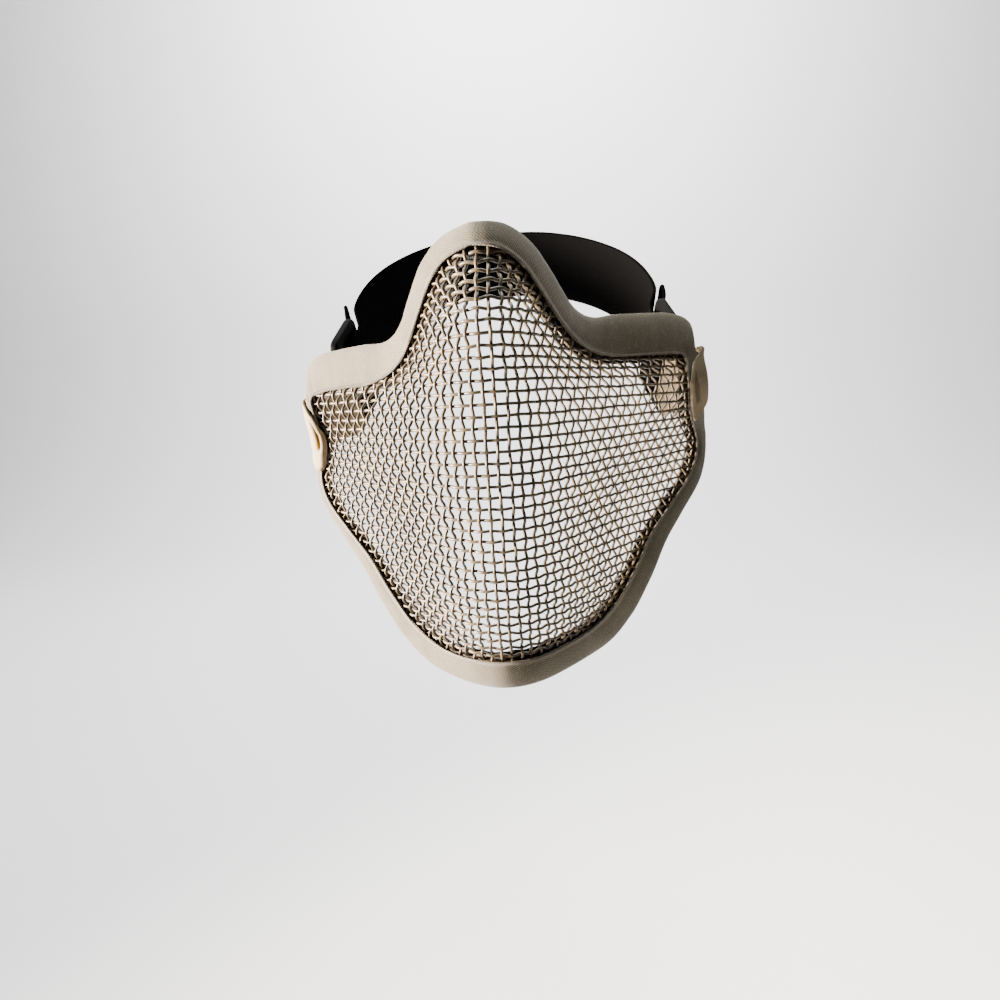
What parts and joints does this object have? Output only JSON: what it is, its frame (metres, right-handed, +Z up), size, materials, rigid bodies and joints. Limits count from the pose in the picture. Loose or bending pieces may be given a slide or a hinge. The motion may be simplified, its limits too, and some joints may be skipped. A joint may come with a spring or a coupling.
{
  "type": "half-face mesh mask",
  "caption": "Lower-face mask of pressed woven steel wire with a fabric-bound edge, fabric side tabs, plastic sliders and an adjustable elastic head strap.",
  "frame": {"origin": "point on the inner face of the edge binding, at its centre over the bridge of the nose, where the mask rests on the wearer", "axes": "+Z up, -Y the way the face looks (front of the mask), +X to the right seen from the front"},
  "size_m": [0.1794, 0.2096, 0.1969],
  "materials": {
    "wire": "satin, thin khaki coat on steel wire",
    "binding": "cotton twill tape, matt",
    "tab": "cotton twill tape, matt",
    "slider": "moulded, slightly glossy",
    "elastic": "ribbed knitted elastic"
  },
  "bodies": {
    "root": {"mesh_panel": "wire", "edge_binding": "binding", "side_tab_right": "tab", "side_tab_left": "tab", "slider_right": "slider", "slider_left": "slider", "head_strap": "elastic"}
  },
  "joints": []
}
